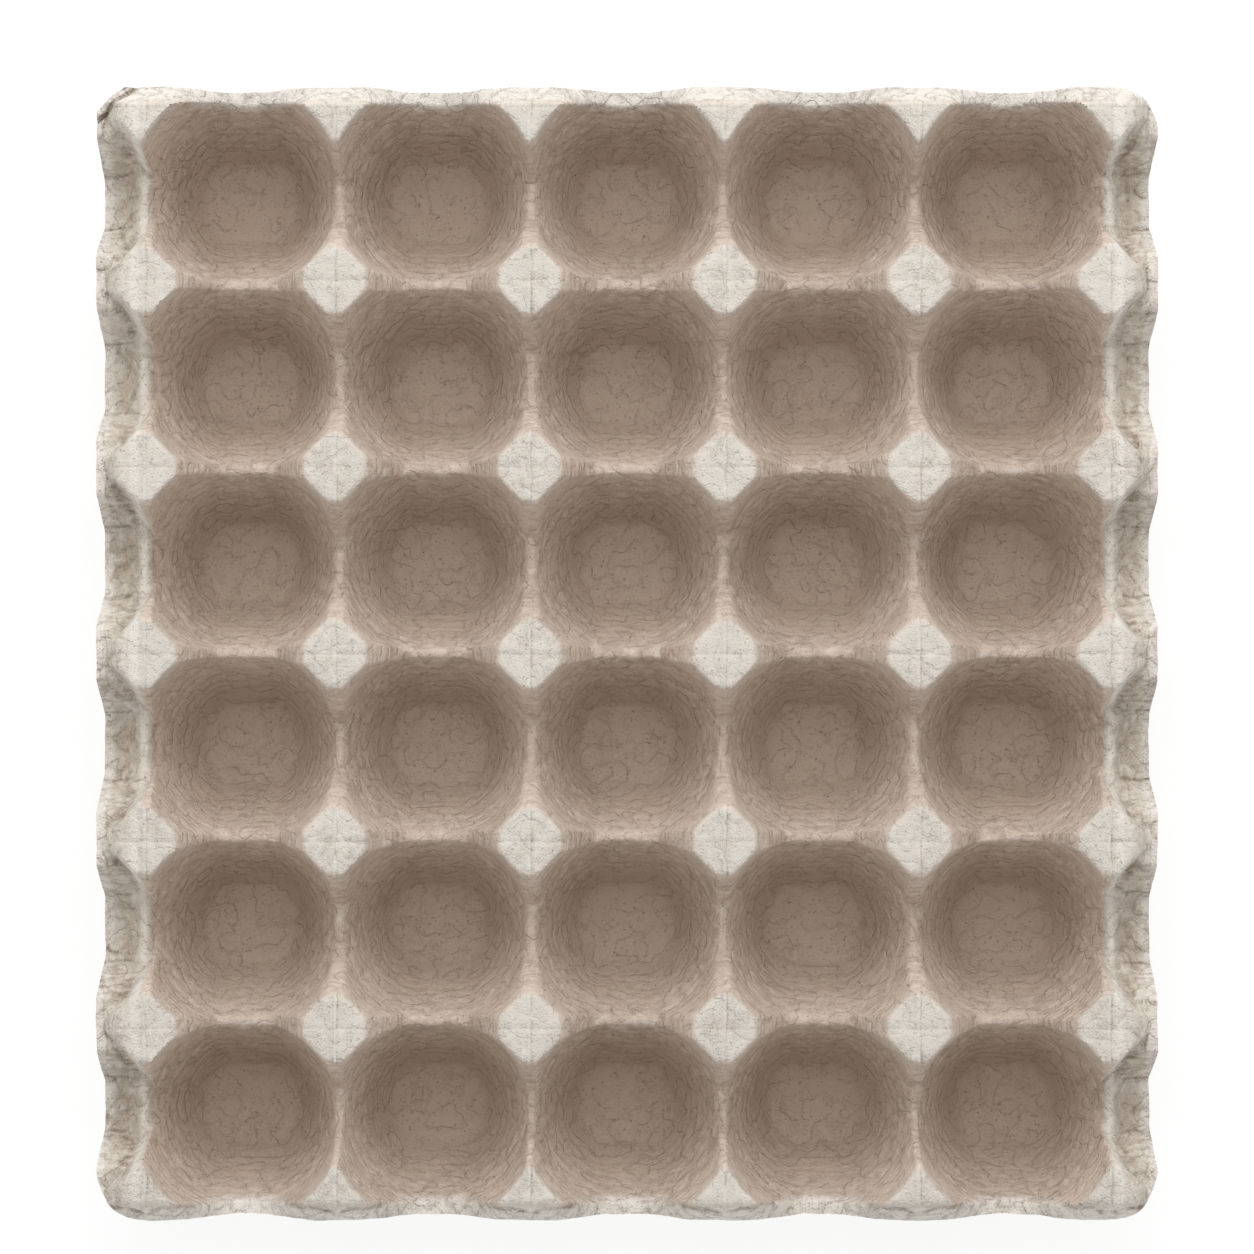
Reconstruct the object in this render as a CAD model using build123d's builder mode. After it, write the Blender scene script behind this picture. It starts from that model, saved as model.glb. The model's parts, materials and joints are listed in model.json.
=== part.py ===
"""A moulded pulp tray for thirty eggs: five columns by six rows of round cells in one drafted sheet.

The sheet is an upper form, which is the outside seen from above, less the cells, less an under form that
is the same shape one wall further in. Millimetres, +Z up, origin under the middle of the tray on the floor.
"""

from build123d import *

import os
from math import atan, atan2, radians, tan

# The grid of cells
columns = 5
rows = 6
pitch_x = 50.0
pitch_y = 48.0

# Heights above the floor
height = 50.0
saddle_z = 28.0
side_rim_z = 21.0
shoulder_z = 38.0

# The sheet
wall = 2.0

# A cell: a round floor with its corner broken, a wall that opens towards the saddles and a steeper one
# between the posts
floor_radius = 12.5
floor_corner = 2.6
mouth_gap = 3.0
post_draft = 9.5

# The flat recesses in a cell's four sides, with a thin ridge left between neighbours
ridge = 2.0
recess_foot = 12.0
recess_foot_z = 6.0
recess_clearance = 0.3
outer_recess_extra = 1.7

# A post: the half sizes of its flat top, and how far its inner faces run out down to the saddle
post_half_x = 8.3
post_half_y = 9.6
post_run = 8.3

# The posts along the edges stand a little further in, and their outer faces are their own
side_post_inset = 1.2
side_post_outer_half = 7.3
side_post_outer_draft = 15.0
end_post_inset = 3.6
end_post_outer_half = 0.6
end_post_outer_draft = 31.0

# The long sides: a ridge, a gutter that falls outwards, a flat rim, and a shoulder up to each post
side_ridge = 2.6
gutter_width = 6.5
side_rim_width = 3.4
shoulder_half = 7.0
shoulder_run = 9.0

# The short ends: a narrow flat strip at saddle height
end_strip = 2.75

# The corners of the outline
folded_corner_x = 7.5
folded_corner_y = 6.6
back_right_radius = 12.5
front_corner_radius = 14.0

# Tools reach this far past what they cut
margin = 8.0

# Worked out from the sizes above
grid_x = columns * pitch_x / 2
grid_y = rows * pitch_y / 2
ridge_x = grid_x + side_ridge
foot_x = ridge_x + gutter_width
rim_x = foot_x + side_rim_width
rim_y = grid_y + end_strip
mouth_radius = (min(pitch_x, pitch_y) - mouth_gap) / 2
post_rise = height - saddle_z


def centred(count, pitch):
    """Evenly spaced places about zero."""
    return [(i - (count - 1) / 2) * pitch for i in range(count)]


def post_lines(count, pitch, inset):
    """Where the posts stand along one axis: on the grid lines, with the first and last moved inwards."""
    lines = centred(count + 1, pitch)
    return [lines[0] + inset, *lines[1:-1], lines[-1] - inset]


cells_x = centred(columns, pitch_x)
cells_y = centred(rows, pitch_y)
posts_x = post_lines(columns, pitch_x, side_post_inset)
posts_y = post_lines(rows, pitch_y, end_post_inset)


def post_row(lines, half, outer_half, outer_draft, inset):
    """The sloping sides of a row of posts as outlines across the row, one inset inside their faces."""
    inner_run = post_run / post_rise
    outer_run = tan(radians(outer_draft))
    inner_shift = inset * tan(atan(1 / inner_run) / 2)
    outer_shift = inset * tan(atan(1 / outer_run) / 2)
    top = height - inset
    depth = post_rise + wall / 2
    inner = (half - inner_shift, half - inner_shift + depth * inner_run)
    outer = (outer_half - outer_shift, outer_half - outer_shift + depth * outer_run)
    profiles = []
    for line in lines:
        low = outer if line == lines[0] else inner
        high = outer if line == lines[-1] else inner
        profiles.append(
            [
                (line - low[1], top - depth),
                (line - low[0], top),
                (line + high[0], top),
                (line + high[1], top - depth),
            ]
        )
    return profiles


def posts(inset):
    """All the posts, each a four-sided block with sloping faces that starts just below the saddles."""
    with BuildPart() as blocks:
        with BuildSketch(Plane.XZ):
            for profile in post_row(posts_x, post_half_x, side_post_outer_half, side_post_outer_draft, inset):
                Polygon(*profile, align=None)
        extrude(amount=rim_y + margin, both=True)
        with BuildSketch(Plane.YZ):
            for profile in post_row(posts_y, post_half_y, end_post_outer_half, end_post_outer_draft, inset):
                Polygon(*profile, align=None)
        extrude(amount=rim_x + margin, both=True, mode=Mode.INTERSECT)
    return blocks.part


def cell_bowl(inset):
    """The round hollow of a cell, turned about its own axis and grown by the inset."""
    post_radius = mouth_radius + post_rise * tan(radians(post_draft))
    with BuildPart() as bowl:
        with BuildSketch(Plane.XZ):
            with BuildLine():
                Polyline(
                    (0, wall),
                    (floor_radius, wall),
                    (mouth_radius, saddle_z),
                    (post_radius, height),
                    (0, height),
                    close=True,
                )
            make_face()
            chamfer(vertices().group_by(Axis.Y)[0].sort_by(Axis.X)[-1], floor_corner)
            if inset:
                offset(amount=inset, kind=Kind.INTERSECTION)
            with Locations((0, height)):
                Rectangle(2 * post_radius, 4 * height, align=(Align.MIN, Align.CENTER), mode=Mode.INTERSECT)
        revolve(axis=Axis.Z)
        top = bowl.faces().sort_by(Axis.Z)[-1]
        extrude(top, amount=margin)
    return bowl.part


def recess(column, row, across, inset):
    """The flat-walled slot across one cell, along X or along Y, that thins its ridges; grown by the inset."""
    along_x = across == "x"
    centre, side_centre = cells_x[column], cells_y[row]
    lines, index, half, pitch = posts_y, row, post_half_y, pitch_x
    ends = [outer_recess_extra if column == 0 else 0, outer_recess_extra if column == columns - 1 else 0]
    if not along_x:
        centre, side_centre = side_centre, centre
        lines, index, half, pitch = posts_x, column, post_half_x, pitch_y
        ends = [0, 0]
    reach = (pitch - ridge) / 2
    clear = half + post_run + recess_clearance - inset
    low, high = lines[index] + clear, lines[index + 1] - clear
    with BuildPart() as slot:
        with BuildSketch(Plane.XZ.offset(-low) if along_x else Plane.YZ.offset(low)):
            with BuildLine():
                Polyline(
                    (centre - recess_foot, recess_foot_z),
                    (centre + recess_foot, recess_foot_z),
                    (centre + reach + ends[1], saddle_z),
                    (centre + reach + ends[1], saddle_z + margin),
                    (centre - reach - ends[0], saddle_z + margin),
                    (centre - reach - ends[0], saddle_z),
                    close=True,
                )
            make_face()
            if inset:
                offset(amount=inset, kind=Kind.INTERSECTION)
        extrude(amount=low - high if along_x else high - low)
    return slot.part


def base(bottom, inset):
    """The flat at saddle height with a gutter and a rim along each long side, one inset below its surface."""
    slope = atan2(saddle_z - side_rim_z, gutter_width)
    shift = inset * tan(slope / 2)
    reach_x = rim_x + margin
    reach_y = rim_y + margin
    profile = [
        (reach_x, bottom),
        (reach_x, side_rim_z - inset),
        (foot_x - shift, side_rim_z - inset),
        (ridge_x - shift, saddle_z - inset),
    ]
    with BuildPart() as block:
        with BuildSketch(Plane.XZ):
            with BuildLine():
                Polyline(*profile, *[(-x, z) for x, z in reversed(profile)], close=True)
            make_face()
        extrude(amount=reach_y, both=True)
    return block.part


def shoulders(bottom, inset):
    """The blocks that lift the rim beside each post along both long sides, one inset below their surface."""
    slope = atan2(shoulder_z - side_rim_z, shoulder_run)
    shift = inset * tan(slope / 2)
    profile = [
        (shoulder_half + shoulder_run - shift, bottom),
        (shoulder_half + shoulder_run - shift, side_rim_z - inset),
        (shoulder_half - shift, shoulder_z - inset),
    ]
    length = rim_x + margin - grid_x
    with BuildPart() as blocks:
        for start in (grid_x, -rim_x - margin):
            with BuildSketch(Plane.YZ.offset(start)):
                with Locations(*[(y, 0) for y in posts_y]):
                    Polygon(*profile, *[(-y, z) for y, z in reversed(profile)], align=None)
            extrude(amount=length)
    return blocks.part


def outline():
    """The plan of the tray: one folded corner at the back left and three rounded ones."""
    with BuildPart() as block:
        with BuildSketch():
            Rectangle(2 * rim_x, 2 * rim_y)
            front_left, front_right, back_left, back_right = sorted(
                vertices(), key=lambda v: (round(v.Y), round(v.X))
            )
            fillet([front_left, front_right], front_corner_radius)
            fillet(vertices().sort_by_distance((rim_x, rim_y))[0], back_right_radius)
            chamfer(vertices().sort_by_distance((-rim_x, rim_y))[0], folded_corner_x, folded_corner_y)
        extrude(amount=height + margin)
    return block.part


def form(bottom, inset):
    """The whole form with its cells, one inset inside the upper surface, solid down to its bottom."""
    beyond = ridge_x + mouth_radius
    bowl = cell_bowl(inset)
    with BuildPart() as block:
        add(posts(inset))
        with Locations(*[(x, y) for x in (-beyond, beyond) for y in cells_y]):
            add(bowl, mode=Mode.SUBTRACT)
        add([base(bottom, inset), shoulders(bottom, inset)])
        with Locations(*[(x, y) for x in cells_x for y in cells_y]):
            add(bowl, mode=Mode.SUBTRACT)
        add(
            [recess(i, j, across, inset) for i in range(columns) for j in range(rows) for across in "xy"],
            mode=Mode.SUBTRACT,
        )
    return block.part


with BuildPart() as tray:
    add(form(0, 0))
    add(outline(), mode=Mode.INTERSECT)
    add(form(-margin, wall), mode=Mode.SUBTRACT)

tray.part.label = "tray"
os.makedirs("parts", exist_ok=True)
export_step(tray.part, "parts/tray.step")
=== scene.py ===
import json
import math

import bpy
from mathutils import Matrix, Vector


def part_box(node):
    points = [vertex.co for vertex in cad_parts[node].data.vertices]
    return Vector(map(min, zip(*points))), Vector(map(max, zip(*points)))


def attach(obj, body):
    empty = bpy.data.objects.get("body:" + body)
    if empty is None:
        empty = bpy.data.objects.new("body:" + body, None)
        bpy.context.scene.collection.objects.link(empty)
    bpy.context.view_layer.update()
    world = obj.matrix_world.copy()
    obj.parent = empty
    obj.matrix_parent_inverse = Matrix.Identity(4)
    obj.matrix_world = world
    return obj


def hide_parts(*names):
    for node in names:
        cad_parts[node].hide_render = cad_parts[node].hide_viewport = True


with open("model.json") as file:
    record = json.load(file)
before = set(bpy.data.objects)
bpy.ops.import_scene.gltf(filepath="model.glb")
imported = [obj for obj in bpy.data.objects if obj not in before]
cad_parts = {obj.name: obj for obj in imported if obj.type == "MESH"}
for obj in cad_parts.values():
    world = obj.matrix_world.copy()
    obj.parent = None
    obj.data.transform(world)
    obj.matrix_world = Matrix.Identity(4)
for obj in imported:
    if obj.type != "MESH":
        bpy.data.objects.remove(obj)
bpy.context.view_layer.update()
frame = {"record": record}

bl_info = {
    "name": "Moulded pulp egg tray",
    "version": (1, 0, 0),
    "blender": (4, 5, 0),
    "location": "View3D > Sidebar > Egg tray",
    "description": "Makes a moulded pulp tray for eggs, with its cells, posts, gutters and rough rim",
    "category": "Object",
}

MM = 0.001
NODE = "tray"
RECORD = frame["record"]
RIM_X, RIM_Y, TRAY_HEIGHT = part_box(NODE)[1]
CELL_BOXES = [opening["box_m"] for opening in RECORD["physics"]["openings"]]


def centres(axis):
    """The cells' middles along one axis, each once, from the record's openings."""
    return sorted({round((low[axis] + high[axis]) / 2, 6) for low, high in CELL_BOXES})


CELLS_X, CELLS_Y = centres(0), centres(1)
PITCH_X, PITCH_Y = CELLS_X[1] - CELLS_X[0], CELLS_Y[1] - CELLS_Y[0]
GRID_X, GRID_Y = CELLS_X[-1] + PITCH_X / 2, CELLS_Y[-1] + PITCH_Y / 2

# The mesh: the spacing of its lines before they crowd at the posts, and its most triangles
MESH_STEP = 0.75 * MM
CROWDING = 0.4
MOST_FACES = 190000
SHARP_ANGLE = math.radians(65)

# The pulp's own pattern: the sizes of its clouds, blotches, swirls, grains and flecks, the spacing and width
# of its wrinkles and fibres, and the spacing of its level layers
CLOUD = 18 * MM
BLOTCH = 3.2 * MM
SWIRL = 2.8 * MM
GRAIN = 0.45 * MM
WRINKLE_GAP, WRINKLE_WIDTH = 5.5 * MM, 0.4 * MM
FIBRE_GAP, FIBRE_WIDTH = 2.2 * MM, 0.2 * MM
FLECK = 0.8 * MM
LAYER_GAP = 3.1 * MM

# The stage: the camera's height, and how wide the view is at a level between the floor and the tops
CAMERA_HEIGHT = 1.2
FRAMED_HEIGHT = 0.034
FRAMED_WIDTH = 0.326

# How softly the surfaces run into each other
FLOOR_BLEND = 6 * MM
CREASE_BLEND = 1.2 * MM
CREST_BLEND = 1.1 * MM
GUTTER_BLEND = 3 * MM
RAMP_BLEND = 2 * MM
FACET_BLEND = 1.6 * MM
CHEEK_BLEND = 2.6 * MM
FOOT_BLEND = 3 * MM
LIP_BLEND = 1.6 * MM


# Sums in node trees


class Number:
    """A value in a node tree that takes part in plain sums."""

    def __init__(self, tree, socket):
        self.tree, self.socket = tree, socket

    def math(self, operation, *values):
        node = self.tree.nodes.new("ShaderNodeMath")
        node.operation = operation
        for slot, value in zip(node.inputs, (self, *values)):
            feed(self.tree, slot, value)
        return Number(self.tree, node.outputs[0])

    def __add__(self, other):
        return self.math("ADD", other)

    def __sub__(self, other):
        return self.math("SUBTRACT", other)

    def __rsub__(self, other):
        return self.math("MULTIPLY_ADD", -1, other)

    def __mul__(self, other):
        return self.math("MULTIPLY", other)

    def __truediv__(self, other):
        return self.math("DIVIDE", other)

    def __neg__(self):
        return self * -1

    def __abs__(self):
        return self.math("ABSOLUTE")

    def __rtruediv__(self, other):
        return self.math("POWER", -1) * other

    __radd__ = __add__
    __rmul__ = __mul__


def feed(tree, slot, value):
    """Link a value to a socket, or set it there."""
    if isinstance(value, Number):
        tree.links.new(value.socket, slot)
    elif isinstance(value, bpy.types.NodeSocket):
        tree.links.new(value, slot)
    else:
        slot.default_value = value


def greatest(a, b, blend=0.0):
    return a.math("SMOOTH_MAX", b, blend) if blend else a.math("MAXIMUM", b)


def least(a, b, blend=0.0):
    return a.math("SMOOTH_MIN", b, blend) if blend else a.math("MINIMUM", b)


def clamp(value, low, high):
    return least(greatest(value, low), high)


def hypot(a, b):
    return (a * a + b * b).math("SQRT")


def above(value, limit):
    """1 where the value is over the limit, and 0 elsewhere."""
    return value.math("GREATER_THAN", limit)


def step(value, low, high):
    """A smooth rise from 0 to 1 between two values."""
    node = value.tree.nodes.new("ShaderNodeMapRange")
    node.interpolation_type = "SMOOTHSTEP"
    for slot, amount in zip(node.inputs, (value, low, high)):
        feed(value.tree, slot, amount)
    return Number(value.tree, node.outputs[0])


def node(tree, kind, output=0, settings=None, **inputs):
    """One node with its settings and named inputs, given back as its output socket."""
    made = tree.nodes.new(kind)
    for name, value in (settings or {}).items():
        setattr(made, name, value)
    for name, value in inputs.items():
        feed(tree, made.inputs[name.replace("_", " ")], value)
    return made.outputs[output]


def noise(tree, vector, size, detail=2.0, roughness=0.5, distortion=0.0):
    """A noise between 0 and 1 whose lumps are about the given size."""
    made = node(
        tree, "ShaderNodeTexNoise", Vector=vector, Scale=1 / size, Detail=detail, Roughness=roughness,
        Distortion=distortion,
    )
    return Number(tree, made)


def lump(tree, place, size, depth, **more):
    """A noise about zero, so deep each way."""
    return (noise(tree, place, size, **more) - 0.5) * (2 * depth)


def creases(tree, place, size, width, **more):
    """Thin curved lines, 1 along their middle and 0 beside them."""
    away = abs(noise(tree, place, size, **more) - 0.5)
    return 1 - clamp(away * (size / width), 0, 1)


def line(distance, width):
    """A single line of a width, 1 along its middle and 0 beside it."""
    return 1 - step(abs(distance), width * 0.2, width * 0.75)


def pressed(distance, width, depth):
    """A single line of a width, so deep along its middle and nothing beside it."""
    return line(distance, width) * depth


def specks(tree, place, size, level):
    """Scattered spots, 1 in each, where a noise is over a level."""
    return step(noise(tree, place, size, detail=0.0), level, level + 0.03)


def shifted(tree, place, amount):
    """A place moved the same distance along every axis."""
    made = tree.nodes.new("ShaderNodeVectorMath")
    feed(tree, made.inputs[0], place)
    feed(tree, made.inputs[1], amount)
    return made.outputs[0]


# The tray's sizes and colours


def length(name, description, millimetres):
    return bpy.props.FloatProperty(
        name=name, description=description, default=millimetres * MM, precision=5, unit="LENGTH",
        subtype="DISTANCE",
    )


def angle(name, description, degrees):
    return bpy.props.FloatProperty(
        name=name, description=description, default=math.radians(degrees), unit="ROTATION", subtype="ANGLE"
    )


def incline(name, description, value):
    return bpy.props.FloatProperty(name=name, description=description, default=value)


def colour(name, description, value):
    return bpy.props.FloatVectorProperty(
        name=name, description=description, default=value, subtype="COLOR", size=3, min=0, max=1
    )


class EGGTRAY_PG_sizes(bpy.types.PropertyGroup):
    """Sizes of the moulded sheet."""

    wall: length("Wall", "Thickness of the pulp", 2.0)
    saddle: length("Saddle height", "Height of the ridges between neighbouring cells", 28.0)
    side_rim: length("Side rim height", "Height of the rim in the dips along the long sides", 21.0)
    shoulder: length("Shoulder height", "Height of the rim beside the posts along the long sides", 40.5)
    shoulder_half: length("Shoulder half width", "Half of the high stretch of rim beside a post", 7.0)
    shoulder_run: length("Shoulder run", "Length over which the rim rises to a shoulder", 9.0)
    floor: length("Floor radius", "Radius of a cell's flat floor before its corner is rounded", 12.5)
    mouth: length("Mouth radius", "Radius of a cell at saddle height", 24.0)
    post_draft: angle("Post draft", "Angle of a cell's wall between the posts", 7.0)
    ridge: length("Ridge", "Width of the ridge between two cells", 2.0)
    recess_foot: length("Recess foot", "Half span of the side recesses at their foot", 12.0)
    recess_foot_z: length("Recess foot height", "Height of the foot of the side recesses", 6.0)
    cheek: incline("Recess cheek slope", "Rise over run of a recess's ends", 4.0)
    outer_recess: length("Outer recess", "How much further the outermost recesses reach", 1.7)
    post_x: length("Post half width", "Half of a post's flat top, across the tray", 8.1)
    post_y: length("Post half length", "Half of a post's flat top, along the tray", 8.8)
    diagonal: length("Post diagonal", "Half of a post's flat top across its corners, facet to facet", 7.6)
    facet: incline("Facet slope", "Rise over run of a post's corner facets", 4.0)
    outer_facet: incline("Outer facet slope", "Rise over run of the corner facets along the long sides", 6.0)
    bridge: length("Bridge", "Half the length of the flat ridge between two cells in a column", 7.6)
    post_run: length("Post run", "How far a post's faces run out down to the saddle", 8.3)
    side_inset: length("Side post inset", "How far the posts along the long sides stand inwards", 1.2)
    end_inset: length("End post inset", "How far the posts along the ends stand inwards", 3.6)
    side_outer: length("Side post outer half", "Outer half of the flat top of a post along a long side", 7.0)
    side_draft: angle("Side post draft", "Angle of the outer face of a post along a long side", 23.0)
    end_outer: length("End post outer half", "Outer half of the flat top of a post along an end", 0.6)
    end_draft: angle("End post draft", "Angle of the outer face of a post along an end", 31.0)
    side_ridge: length("Side ridge", "Width of the ridge outside the grid of cells", 2.6)
    gutter: length("Gutter", "Width of the gutter's slope", 6.5)
    trough_in: length("Trough place", "Distance of a trough's middle from the edge", 7.2)
    trough_x: length("Trough width", "Half the width of the trough in a gutter", 4.6)
    trough_y: length("Trough length", "Half the length of the trough in a gutter", 10.5)
    trough_depth: length("Trough depth", "Depth of the trough in a gutter", 1.8)
    gutter_bow: length("Gutter bow", "Twice the radius of the gutter's curve around its middle", 62.0)
    fold_x: length("Folded corner width", "Width of the folded corner", 7.5)
    fold_y: length("Folded corner length", "Length of the folded corner", 6.6)
    back_radius: length("Back corner radius", "Radius of the back right corner", 12.5)
    front_radius: length("Front corner radius", "Radius of the two front corners", 14.0)


class EGGTRAY_PG_look(bpy.types.PropertyGroup):
    """Colours of the pulp, and of the painted light and painted shade on it."""

    # the paler colour of the flat tops, also mixed into the painted light on the rims and ridge crests
    pale: colour("Pale pulp", "Colour of the rubbed tops", (0.72, 0.665, 0.595))
    grey: colour("Grey pulp", "Colour of the flanges and rims", (0.70, 0.64, 0.56))
    # the slopes' colour just below the tops, partly the pulp's tone and partly painted brownish bounce light
    tan: colour("Tan pulp", "Colour of the slopes just below the tops", (0.70, 0.59, 0.505))
    # the troughs' colour: painted shade in the gutters
    dull: colour("Dull pulp", "Colour of the troughs in the gutters", (0.50, 0.425, 0.34))
    # the cells' wall colour: painted shade with a brownish painted bounce light, towards the cells' floors
    warm: colour("Warm pulp", "Colour of the walls inside the cells", (0.50, 0.405, 0.325))
    # the dark colour of the wrinkles, fibres and mottling, and of the painted shade in the cut lines, folds
    # and creases
    shade: colour("Shade", "Colour in the wrinkles", (0.27, 0.21, 0.16))
    # the colour of the painted light on the rims, ridge crests and raised rib, and of pale spots in the pulp
    light: colour("Light", "Colour of the raised and rubbed spots", (0.83, 0.78, 0.715))
    fibre: colour("Fibre", "Colour of the dark fibres and specks", (0.17, 0.12, 0.085))


# The moulded sheet


def nearest(value, pitch, count):
    """The nearest of a row of evenly spaced places."""
    half = (count - 1) / 2
    shift = half % 1
    return clamp((value / pitch - shift).math("ROUND") + shift, -half, half) * pitch


def lean(slope):
    """How much thicker a sheet measures straight down where it slopes."""
    return (slope * slope + 1).math("SQRT")


class Sheet:
    """The tray's surface as a height over its plan. An inset gives the surface that far inside it."""

    def __init__(self, size, x, y):
        self.size, self.x, self.y = size, x, y
        columns, rows = len(CELLS_X), len(CELLS_Y)
        self.u = x - nearest(x, PITCH_X, columns)
        self.v = y - nearest(y, PITCH_Y, rows)
        self.across, self.along = abs(x), abs(y)
        self.side_line = GRID_X - size["side_inset"]
        self.end_line = GRID_Y - size["end_inset"]
        self.post_u = x - clamp(nearest(x, PITCH_X, columns + 1), -self.side_line, self.side_line)
        self.post_v = y - clamp(nearest(y, PITCH_Y, rows + 1), -self.end_line, self.end_line)

    def plane(self, start, distance, slope, inset):
        """A height that rises with a distance, lowered by the inset measured square to the slope."""
        return distance * slope + start - lean(slope) * inset

    def bowl(self, radius, inset):
        """The round hollow of a cell: a floor, a sloping wall and a steeper one between the posts."""
        size = self.size
        slope = (size["saddle"] - size["wall"]) / (size["mouth"] - size["floor"])
        steep = 1 / size["post_draft"].math("TANGENT")
        wall = self.plane(size["wall"], radius - size["floor"], slope, inset)
        floor = size["wall"] - inset
        upper = self.plane(size["saddle"], radius - size["mouth"], steep, inset)
        return greatest(greatest(wall, floor, FLOOR_BLEND), upper, CREASE_BLEND)

    def side_wall(self, side, reach, inset):
        """The flat back wall of a cell's side, which falls from the ridge to the neighbour."""
        slope = (self.size["saddle"] - self.size["recess_foot_z"]) / (reach - self.size["recess_foot"])
        return self.plane(self.size["saddle"], abs(side) - reach, slope, inset)

    def recess(self, side, reach, past_post, inset):
        """The flat-walled slot in a cell's side that thins the ridge to its neighbour."""
        size = self.size
        cheek = self.plane(size["saddle"], past_post, size["cheek"], inset)
        slot = greatest(self.side_wall(side, reach, inset), cheek, CHEEK_BLEND)
        return greatest(slot, size["wall"] - inset, FLOOR_BLEND)

    def posts(self, inset):
        """The posts, each with a flat top and four sloping faces."""
        size = self.size
        slope = (TRAY_HEIGHT - size["saddle"]) / size["post_run"]
        top = TRAY_HEIGHT - inset
        past_side = above(self.across, self.side_line)
        past_end = above(self.along, self.end_line)
        for away, half, outer_half, outer_draft, outside in (
            (abs(self.post_u), size["post_x"], size["side_outer"], size["side_draft"], past_side),
            (abs(self.post_v), size["post_y"], size["end_outer"], size["end_draft"], past_end),
        ):
            outer_slope = 1 / outer_draft.math("TANGENT")
            face = self.plane(TRAY_HEIGHT, half - away, slope, inset)
            outer_face = self.plane(TRAY_HEIGHT, outer_half - away, outer_slope, inset)
            face = face + (outer_face - face) * outside
            top = least(face, top, CREST_BLEND)
        diagonal = (abs(self.post_u) + abs(self.post_v)) * math.sqrt(0.5)
        slope = past_side * (size["outer_facet"] - size["facet"]) + size["facet"]
        facet = self.plane(TRAY_HEIGHT, size["diagonal"] - diagonal, slope, inset)
        # the posts along the ends have no facets on their outer side
        return least(facet + past_end * TRAY_HEIGHT, top, FACET_BLEND)

    def end_strip(self, inset):
        """The strip along each short end, which swells up to every post in one long wave."""
        size = self.size
        outer_slope = 1 / size["end_draft"].math("TANGENT")
        crest = self.plane(TRAY_HEIGHT, size["end_outer"] - abs(self.post_v), outer_slope, inset)
        crest = least(crest, TRAY_HEIGHT - inset, CREST_BLEND)
        swell = 1 - step(abs(self.post_u), size["post_x"] * 0.6, PITCH_X / 2 - 3 * MM)
        return (crest - size["saddle"] + inset) * swell + size["saddle"] - inset

    def height(self, inset):
        """The whole surface."""
        size = self.size
        ridge_x = size["side_ridge"] + GRID_X
        posts = self.posts(inset)
        fall = (size["saddle"] - size["side_rim"]) / size["gutter"]
        bowed = ridge_x + self.v * self.v / size["gutter_bow"]
        gutter = self.plane(size["saddle"], bowed - self.across, fall, inset)
        gutter = least(gutter, size["saddle"] - inset, CREST_BLEND)
        gutter = greatest(gutter, size["side_rim"] - inset, GUTTER_BLEND)
        trough_u = (self.across - RIM_X + size["trough_in"]) / size["trough_x"]
        trough = hypot(trough_u, self.v / size["trough_y"])
        gutter = gutter - (1 - step(trough, 0.25, 1.0)) * size["trough_depth"]
        climb = (size["shoulder"] - size["side_rim"]) / size["shoulder_run"]
        past_shoulder = size["shoulder_half"] + size["shoulder_run"] - abs(self.post_v)
        shoulder = self.plane(size["side_rim"], past_shoulder, climb, inset)
        shoulder = least(shoulder, size["shoulder"] - inset, RAMP_BLEND)
        # a shoulder ends at the ridge, so it never reaches into the cells
        shoulder = shoulder - greatest(GRID_X + 1 * MM - self.across, 0) * 20
        solid = greatest(gutter, posts, FOOT_BLEND)
        at_end = step(self.along, GRID_Y - 3.5 * MM, GRID_Y - 0.5 * MM)
        solid = solid + (self.end_strip(inset) - solid) * at_end
        solid = greatest(solid, shoulder, RAMP_BLEND)

        reach_x = (PITCH_X - size["ridge"]) / 2 + size["outer_recess"] * above(self.across, CELLS_X[-1])
        reach_y = (PITCH_Y - size["ridge"]) / 2
        past_y = size["post_y"] + size["post_run"] + 0.6 * MM - abs(self.post_v)
        cell = self.bowl(hypot(self.u, self.v), inset)
        cell = least(cell, self.recess(self.u, reach_x, past_y, inset), CREASE_BLEND)
        bridge_end = self.plane(size["saddle"], size["bridge"] - abs(self.u), size["cheek"], inset)
        bridge = least(self.side_wall(self.v, reach_y, inset), bridge_end, CREASE_BLEND)
        return least(solid, greatest(cell, bridge, CREASE_BLEND), LIP_BLEND)

    def flat_top(self, ragged):
        """1 on a post's flat top and 0 off it, with an edge that wanders by the given distance."""
        size = self.size
        outside = above(self.across, self.side_line)
        half_x = outside * (size["side_outer"] - 1 * MM - size["post_x"]) + size["post_x"]
        beyond = above(self.along, self.end_line)
        half_y = beyond * (size["end_outer"] + 0.8 * MM - size["post_y"]) + size["post_y"]
        past = greatest(abs(self.post_u) - half_x, abs(self.post_v) - half_y, 2 * MM)
        diagonal = (abs(self.post_u) + abs(self.post_v)) * math.sqrt(0.5) - size["diagonal"]
        return 1 - step(greatest(past, diagonal, 3 * MM) + ragged, -0.3 * MM, 0.6 * MM)

    def top_marks(self, sway, fade, tops, ends):
        """The rib that runs along the tray over each post, and the lines cut beside it and across it."""
        rib = pressed(self.post_u + sway, width=0.7 * MM, depth=0.35 * MM) * greatest(tops, ends)
        beside = pressed(self.post_u + sway - 0.6 * MM, width=0.4 * MM, depth=0.25 * MM) * tops
        across = pressed(self.post_v + sway * 0.7, width=0.45 * MM, depth=0.32 * MM) * tops
        return rib, beside + across * (0.3 + fade * 0.7)

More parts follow.
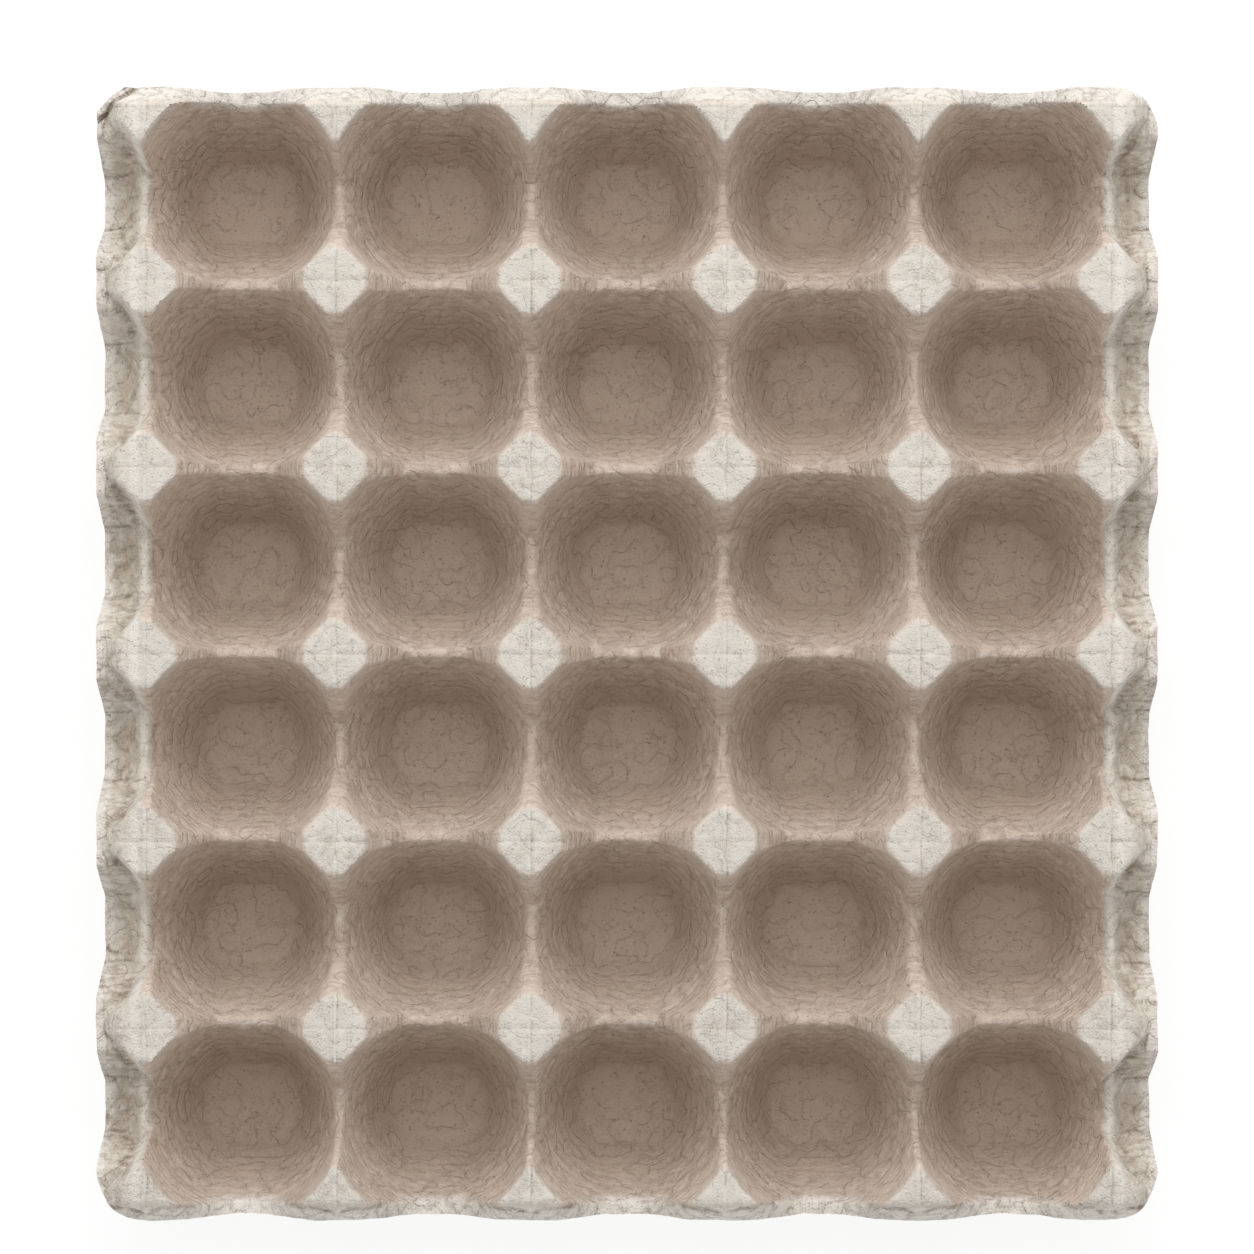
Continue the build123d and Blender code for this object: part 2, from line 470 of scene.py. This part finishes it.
    def end_marks(self, sway, fade, ends):
        """The fold below each post along the front, split by a nub, and the seams on both short rims."""
        out = abs(self.post_u)
        nub = 1 - step(out, 1 * MM, 4.5 * MM)
        fold = self.along - self.end_line - 2.2 * MM - nub * (1.1 * MM) + sway
        spread = step(out, 0.4 * MM, 1.8 * MM) * (1 - step(out, 9 * MM, 15 * MM))
        fold = pressed(fold, width=1.3 * MM, depth=0.75 * MM) * spread * (0.6 + fade * 0.4)
        fold = fold * ends * above(-self.y, 0)
        rim = step(self.along, GRID_Y - 2.5 * MM, GRID_Y - 0.5 * MM)
        return fold + pressed(self.u + sway, width=0.5 * MM, depth=0.25 * MM) * rim

    def flange_marks(self, tree, place, sway, fade):
        """The creases, hollows and folds along the long sides."""
        size = self.size
        flange = step(self.across, GRID_X + 3 * MM, GRID_X + 5 * MM)
        out = abs(self.post_v)
        turn = size["shoulder_half"] + size["shoulder_run"] - 1 * MM
        crease = pressed(out - turn + sway * 2, width=0.8 * MM, depth=0.6 * MM) * flange
        upright = pressed(self.across - RIM_X + 2.6 * MM + sway * 3, width=0.6 * MM, depth=0.6 * MM)
        upright = upright * (1 - step(out, 6 * MM, 11 * MM)) * fade
        slant = self.across - self.side_line - 8 * MM + (out - 5 * MM) * 0.56 + sway
        hollow = pressed(slant, width=3.6 * MM, depth=0.75 * MM) * (0.4 + fade * 0.6)
        hollow = hollow * step(out, 4 * MM, 6.5 * MM) * (1 - step(out, 13 * MM, 17 * MM))
        hollow = hollow * step(self.across, GRID_X + 1.5 * MM, GRID_X + 5 * MM)
        folds = creases(tree, place, 11 * MM, 0.7 * MM, detail=0.0) * flange * fade * (0.55 * MM)
        return crease + upright + hollow + folds

    def corner_split(self, sway):
        """The deep crease across the folded corner."""
        size = self.size
        corner = (self.across - RIM_X + size["fold_x"]) / size["fold_x"]
        corner = corner + (self.along - RIM_Y + size["fold_y"]) / size["fold_y"]
        split = pressed((corner - 0.55) * (5 * MM) + sway * 1.5, width=1.3 * MM, depth=1.8 * MM)
        return split * above(corner, 0.2) * above(-self.x, 0) * above(self.y, 0)

    def marks(self, tree, tops):
        """The mould's lines, as what stands up and what is cut in, given where the flat tops are."""
        place = node(tree, "ShaderNodeCombineXYZ", X=self.x, Y=self.y)
        sway = lump(tree, place, 6 * MM, 0.5 * MM, detail=0.0)
        fade = clamp(0.6 + lump(tree, place, 5 * MM, 0.9, detail=0.0), 0, 1)
        ends = step(self.along, self.end_line, self.end_line + 1 * MM)
        raised, cut = self.top_marks(sway, fade, tops, ends)
        cut = cut + self.end_marks(sway, fade, ends)
        cut = cut + self.flange_marks(tree, place, sway, fade)
        return raised, cut + self.corner_split(sway)

    def unevenness(self, tree, place):
        """The lumps and sags of the whole sheet, larger along the flanges."""
        flange = step(self.across, GRID_X + 1 * MM, GRID_X + 6 * MM)
        slow = lump(tree, place, 22 * MM, 0.35 * MM, detail=3.0)
        return slow + lump(tree, place, 8 * MM, 0.55 * MM, detail=2.0) * (0.35 + flange)


def corner_share(out_x, out_y, width, length, folded):
    """How much of its way out a corner's point keeps, so that the rectangle's edge becomes the outline."""
    far = greatest(out_x / width, out_y / length)
    gauge = out_x / width + out_y / length if folded else hypot(out_x / width, out_y / length)
    return far / greatest(gauge, 1e-6)


def fit_outline(x, y, size):
    """Move the plan of a rectangle so that its corners follow the tray's folded and rounded corners."""
    shift_x, shift_y = x * 0, y * 0
    for side, end, width, length, folded in (
        (-1, 1, size["fold_x"], size["fold_y"], True),
        (1, 1, size["back_radius"], size["back_radius"], False),
        (-1, -1, size["front_radius"], size["front_radius"], False),
        (1, -1, size["front_radius"], size["front_radius"], False),
    ):
        out_x = greatest(x * side - RIM_X + width, 0)
        out_y = greatest(y * end - RIM_Y + length, 0)
        share = corner_share(out_x, out_y, width, length, folded) - 1
        inside = above(least(out_x, out_y), 0)
        shift_x = shift_x + share * out_x * inside * side
        shift_y = shift_y + share * out_y * inside * end
    return x + shift_x, y + shift_y


def crowd(value, pitch, count, edge):
    """Move evenly spaced lines closer together at the posts and wider apart over the cells' floors."""
    held = clamp(value, -edge, edge)
    phase = 0 if count % 2 else math.pi
    return value + (held * (math.tau / pitch) + phase).math("SINE") * (CROWDING * pitch / math.tau)


def sheet_tree(sizes):
    """The geometry tree that makes the whole moulded sheet as one closed shell."""
    tree = bpy.data.node_groups.new("moulded sheet", "GeometryNodeTree")
    tree.interface.new_socket("Geometry", in_out="OUTPUT", socket_type="NodeSocketGeometry")
    for name in sizes:
        title = name.replace("_", " ").capitalize()
        tree.interface.new_socket(title, in_out="INPUT", socket_type="NodeSocketFloat")
    tree.interface.new_socket("Pulp", in_out="INPUT", socket_type="NodeSocketMaterial")
    given = tree.nodes.new("NodeGroupInput")
    size = {name: Number(tree, given.outputs[i]) for i, name in enumerate(sizes)}

    lines_x = round(2 * RIM_X / MESH_STEP)
    lines_y = round(2 * RIM_Y / MESH_STEP)
    under = node(
        tree, "GeometryNodeMeshGrid", Size_X=2 * RIM_X, Size_Y=2 * RIM_Y, Vertices_X=lines_x,
        Vertices_Y=lines_y,
    )
    upper = tree.nodes.new("GeometryNodeExtrudeMesh")
    tree.links.new(under, upper.inputs["Mesh"])
    feed(tree, upper.inputs["Offset"], (0, 0, 1))
    feed(tree, upper.inputs["Offset Scale"], 1.0)
    feed(tree, upper.inputs["Individual"], False)
    flipped = node(tree, "GeometryNodeFlipFaces", Mesh=under)
    joined = tree.nodes.new("GeometryNodeJoinGeometry")
    tree.links.new(upper.outputs["Mesh"], joined.inputs[0])
    tree.links.new(flipped, joined.inputs[0])
    shell = node(tree, "GeometryNodeMergeByDistance", Geometry=joined.outputs[0], Distance=1e-6)

    place = node(tree, "GeometryNodeInputPosition")
    split = tree.nodes.new("ShaderNodeSeparateXYZ")
    tree.links.new(place, split.inputs[0])
    grid_x, grid_y, layer = (Number(tree, socket) for socket in split.outputs)
    x = crowd(grid_x, PITCH_X, len(CELLS_X), GRID_X)
    y = crowd(grid_y, PITCH_Y, len(CELLS_Y), GRID_Y)
    x, y = fit_outline(x, y, size)

    # the torn edge wanders in and out a little
    wander = node(tree, "ShaderNodeCombineXYZ", X=x, Y=y, Z=layer * 0.4 * MM)
    near_x = step(abs(x), RIM_X - 5 * MM, RIM_X)
    near_y = step(abs(y), RIM_Y - 5 * MM, RIM_Y)
    torn_x = lump(tree, wander, 9 * MM, 0.6 * MM, detail=5.0, roughness=0.62)
    torn_y = lump(tree, wander, 8 * MM, 0.6 * MM, detail=5.0, roughness=0.62)
    torn_x = (torn_x - 0.3 * MM) * near_x * x.math("SIGN")
    torn_y = (torn_y - 0.3 * MM) * near_y * y.math("SIGN")

    sheet = Sheet(size, x, y)
    flat = node(tree, "ShaderNodeCombineXYZ", X=x, Y=y, Z=layer * 3 * MM)
    rough = lump(tree, flat, 2.2 * MM, 0.10 * MM, detail=3.0, roughness=0.6)
    tops = step(sheet.posts(0.0), TRAY_HEIGHT - 1.6 * MM, TRAY_HEIGHT - 0.3 * MM)
    raised, cut = sheet.marks(tree, tops)
    top = sheet.height(0.0) + raised - cut + rough
    bottom = sheet.height(size["wall"]) + rough
    is_top = above(layer, 0.5)
    plan = node(tree, "ShaderNodeCombineXYZ", X=x, Y=y)
    z = bottom + (top - bottom) * is_top + sheet.unevenness(tree, plan)
    # the sheet neither sinks into the floor nor wears through
    z = greatest(z, layer * size["wall"] * 0.6)
    moved = node(tree, "ShaderNodeCombineXYZ", X=x + torn_x, Y=y + torn_y, Z=z)
    formed = node(tree, "GeometryNodeSetPosition", Geometry=shell, Position=moved)
    done = node(tree, "GeometryNodeSetMaterial", Geometry=formed, Material=given.outputs[len(sizes)])
    real = node(tree, "GeometryNodeRealizeInstances", Geometry=done)
    out = tree.nodes.new("NodeGroupOutput")
    tree.links.new(real, out.inputs[0])
    return tree


def plain_mesh(piece):
    """Turn a piece with live modifiers into a plain mesh."""
    graph = bpy.context.evaluated_depsgraph_get()
    mesh = bpy.data.meshes.new_from_object(piece.evaluated_get(graph))
    old = piece.data
    piece.modifiers.clear()
    piece.data = mesh
    bpy.data.meshes.remove(old)
    mesh.name = piece.name


def new_piece(name):
    mesh = bpy.data.meshes.new(name)
    piece = bpy.data.objects.new(name, mesh)
    bpy.context.scene.collection.objects.link(piece)
    return piece


class EGGTRAY_OT_sheet(bpy.types.Operator):
    """Make the moulded pulp sheet: cells, posts, gutters and rim in one closed shell"""

    bl_idname = "egg_tray.sheet"
    bl_label = "Moulded sheet"

    def execute(self, context):
        sizes = context.scene.egg_tray_sizes
        names = list(EGGTRAY_PG_sizes.__annotations__)
        tree = sheet_tree(names)
        piece = new_piece("tray_sheet")
        form = piece.modifiers.new("Form", "NODES")
        form.node_group = tree
        sockets = [item for item in tree.interface.items_tree if item.in_out == "INPUT"]
        values = {name: getattr(sizes, name) for name in names}
        for socket, name in zip(sockets, names):
            form[socket.identifier] = values[name]
        pulp = pulp_material(values, context.scene.egg_tray_look)
        form[sockets[-1].identifier] = pulp
        plain_mesh(piece)
        thin = piece.modifiers.new("Fewer faces", "DECIMATE")
        thin.ratio = min(1.0, MOST_FACES / (2 * len(piece.data.polygons)))
        plain_mesh(piece)
        piece.data.shade_smooth()
        piece.data.set_sharp_from_angle(angle=SHARP_ANGLE)
        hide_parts(NODE)
        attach(piece, "root")
        return {"FINISHED"}


# The pulp


def blend(tree, share, low, high):
    """A colour between two others."""
    made = tree.nodes.new("ShaderNodeMix")
    made.data_type = "RGBA"
    feed(tree, made.inputs[0], share)
    for slot, value in ((made.inputs[6], low), (made.inputs[7], high)):
        feed(tree, slot, value if isinstance(value, bpy.types.NodeSocket) else (*value, 1))
    return made.outputs[2]


def pulp_material(sizes, look):
    """Grey-beige pulp: mottled, wrinkled and flecked, paler on the flat tops, with painted light on the rims
    and ridge crests and painted shade in the cells, troughs and creases.
    """
    material = bpy.data.materials.new("pulp")
    material.use_nodes = True
    tree = material.node_tree
    shader = tree.nodes["Principled BSDF"]
    place = node(tree, "ShaderNodeTexCoord", output=3)
    split = tree.nodes.new("ShaderNodeSeparateXYZ")
    feed(tree, split.inputs[0], place)
    x, y, z = (Number(tree, socket) for socket in split.outputs)

    cloud = noise(tree, place, CLOUD, detail=0.0)
    blotch = noise(tree, place, BLOTCH, detail=1.0, roughness=0.65)
    swirl = noise(tree, place, SWIRL, detail=0.0)
    grain = noise(tree, place, GRAIN, detail=0.0)
    warped = shifted(tree, place, (swirl + grain * 0.15) * (3 * MM))
    wrinkles = creases(tree, warped, WRINKLE_GAP, WRINKLE_WIDTH, detail=0.0)
    fibres = creases(tree, warped, FIBRE_GAP, FIBRE_WIDTH, detail=0.0)
    flecks = specks(tree, place, FLECK, 0.76)

    # the mould's own lines: the cut lines, folds, hollows and creases get painted shade, and the raised rib a
    # painted highlight
    sheet = Sheet(sizes, x, y)
    upper = step(z, 15 * MM, 20 * MM)
    tops = step(z, TRAY_HEIGHT - 2.2 * MM, TRAY_HEIGHT - 1.2 * MM)
    raised, cut = sheet.marks(tree, tops)
    # painted highlight: the raised rib is used further down to lighten the colour
    raised = raised / MM * upper
    cut = clamp(cut / MM, 0, 1) * upper

    # lines of settled pulp run level round every slope
    level = z + (swirl - 0.5) * (3 * MM)
    layers = (level * (math.tau / LAYER_GAP)).math("SINE") * 0.5 + 0.5
    layers = layers * step(z, 48 * MM, 45 * MM) * step(z, 6 * MM, 12 * MM)

    # the flat tops are paler, the outer rims and ridge crests get painted light, the cells' slopes get a
    # browner tone that is partly painted bounce light, darkening deeper down into painted shade, and the
    # gutters' troughs get painted shade
    flat_top = sheet.flat_top((blotch - 0.4) * (1.8 * MM)) * tops
    within = step(abs(x), GRID_X + 0.5 * MM, GRID_X - 1 * MM) * step(abs(y), GRID_Y - 1 * MM, GRID_Y - 3 * MM)
    uneven = z + (blotch - 0.5) * 7 * MM
    # the cells' slopes take a browner tone, partly the pulp's and partly painted bounce light
    slope = (1 - flat_top) * within
    # painted shade: the cells get browner and darker towards their floors
    depth = step(uneven, 38 * MM, 12 * MM) * within
    # painted shade: the troughs in the gutters are darkened
    trough_x = (abs(x) - (RIM_X - sizes["trough_in"])) / sizes["trough_x"]
    trough = hypot(trough_x, sheet.v / (sizes["trough_y"] * 1.15)) + (blotch - 0.5) * 1.2
    trough = step(trough, 1.5, 0.35) * step(abs(x), GRID_X + 1 * MM, GRID_X + 3 * MM)
    flange = step(abs(x), GRID_X + 1.5 * MM, GRID_X + 5 * MM) * (1 - flat_top)
    side_rim = step(abs(x), RIM_X - 3.4 * MM, RIM_X - 2 * MM)
    # painted light: the rim strips along the sides and ends, and the ridge crest beside the cells, are
    # lightened
    rim = greatest(side_rim, step(abs(y), GRID_Y - 3 * MM, GRID_Y - 1 * MM))
    crest = line(abs(x) - GRID_X - 1.4 * MM + (blotch - 0.5) * (1.5 * MM), 2.4 * MM)
    paler_tops_and_painted_rim_light = greatest(flat_top, greatest(rim * 0.8, crest * 0.8)) * upper

    colour = blend(tree, paler_tops_and_painted_rim_light, look.grey, look.pale)
    colour = blend(tree, greatest(rim * 0.85, crest * 0.7) * upper, colour, look.light)
    colour = blend(tree, slope, colour, look.tan)
    colour = blend(tree, depth, colour, look.warm)
    colour = blend(tree, trough * 0.7, colour, look.dull)
    lines = (wrinkles * 0.17 + fibres * 0.13) * (1 - flat_top * 0.45)
    dark = lines + (0.5 - grain) * 0.7 + (0.5 - blotch) * 0.6 + (0.5 - cloud) * 0.4
    dark = dark + (wrinkles + fibres) * greatest(flange, rim) * 0.09
    # painted shade: the cut lines, folds, hollows and creases are darkened
    dark = clamp(dark + layers * 0.12 + cut * 0.65, 0, 1)
    colour = blend(tree, dark, colour, look.shade)
    # pale spots in the pulp, and a painted highlight along the raised rib over the posts
    pale_spots_and_rib_highlight = clamp((blotch - 0.55) * 1.6, 0, 0.3) + raised * 0.8
    colour = blend(tree, pale_spots_and_rib_highlight * (1 - depth), colour, look.light)
    colour = blend(tree, flecks * (0.5 - flat_top * 0.15), colour, look.fibre)
    feed(tree, shader.inputs["Base Color"], colour)
    feed(tree, shader.inputs["Roughness"], clamp(0.86 + (grain - 0.5) * 0.3, 0, 1))
    shader.inputs["Specular IOR Level"].default_value = 0.18

    on_top = step(z, TRAY_HEIGHT - 2 * MM, TRAY_HEIGHT - 1 * MM)
    relief = swirl * 0.20 + grain * 0.22 - wrinkles * (0.20 - on_top * 0.08)
    relief = relief + layers * 0.14
    bump = node(tree, "ShaderNodeBump", Height=relief * MM, Distance=1.0, Strength=1.0)
    feed(tree, shader.inputs["Normal"], bump)
    return material


# The stage


class EGGTRAY_OT_stage(bpy.types.Operator):
    """Set the pale floor, the soft light and the camera that looks straight down"""

    bl_idname = "egg_tray.stage"
    bl_label = "Stage"

    def execute(self, context):
        scene = context.scene
        scene.view_settings.view_transform = "Standard"
        world = bpy.data.worlds.new("studio")
        world.use_nodes = True
        world.node_tree.nodes["Background"].inputs[0].default_value = (1, 1, 1, 1)
        world.node_tree.nodes["Background"].inputs[1].default_value = 0.60
        scene.world = world
        bpy.ops.mesh.primitive_plane_add(size=6)
        floor = context.object
        floor.name = "floor"
        paper = bpy.data.materials.new("white paper")
        paper.use_nodes = True
        paper_shader = paper.node_tree.nodes["Principled BSDF"]
        paper_shader.inputs["Base Color"].default_value = (0.20, 0.20, 0.20, 1)
        paper_shader.inputs["Roughness"].default_value = 1.0
        paper_shader.inputs["Specular IOR Level"].default_value = 0.0
        paper_shader.inputs["Emission Color"].default_value = (1, 1, 1, 1)
        paper_shader.inputs["Emission Strength"].default_value = 0.84
        floor.data.materials.append(paper)
        light_data = bpy.data.lights.new("window", "AREA")
        light_data.size = 1.6
        light_data.energy = 19
        light = bpy.data.objects.new("window", light_data)
        scene.collection.objects.link(light)
        light.location = (0, 1.1, 1.2)
        light.rotation_euler = (math.radians(-42), 0, 0)
        data = bpy.data.cameras.new("camera")
        camera = bpy.data.objects.new("camera", data)
        scene.collection.objects.link(camera)
        camera.location = (0, 0.0069, CAMERA_HEIGHT)
        data.lens = data.sensor_width * (CAMERA_HEIGHT - FRAMED_HEIGHT) / FRAMED_WIDTH
        data.clip_start = 0.01
        scene.camera = camera
        return {"FINISHED"}


class EGGTRAY_PT_panel(bpy.types.Panel):
    """The tray's pieces and stage"""

    bl_label = "Egg tray"
    bl_idname = "EGGTRAY_PT_panel"
    bl_space_type = "VIEW_3D"
    bl_region_type = "UI"
    bl_category = "Egg tray"

    def draw(self, context):
        layout = self.layout
        for group in (context.scene.egg_tray_sizes, context.scene.egg_tray_look):
            for name in type(group).__annotations__:
                layout.prop(group, name)
        for maker in OPERATORS:
            layout.operator(maker.bl_idname)


OPERATORS = (EGGTRAY_OT_sheet, EGGTRAY_OT_stage)
CLASSES = (EGGTRAY_PG_sizes, EGGTRAY_PG_look, *OPERATORS, EGGTRAY_PT_panel)


def register():
    for item in CLASSES:
        bpy.utils.register_class(item)
    bpy.types.Scene.egg_tray_sizes = bpy.props.PointerProperty(type=EGGTRAY_PG_sizes)
    bpy.types.Scene.egg_tray_look = bpy.props.PointerProperty(type=EGGTRAY_PG_look)


def unregister():
    del bpy.types.Scene.egg_tray_look
    del bpy.types.Scene.egg_tray_sizes
    for item in reversed(CLASSES):
        bpy.utils.unregister_class(item)


def main():
    register()
    bpy.ops.egg_tray.sheet()
    bpy.ops.egg_tray.stage()


if __name__ == "__main__":
    main()
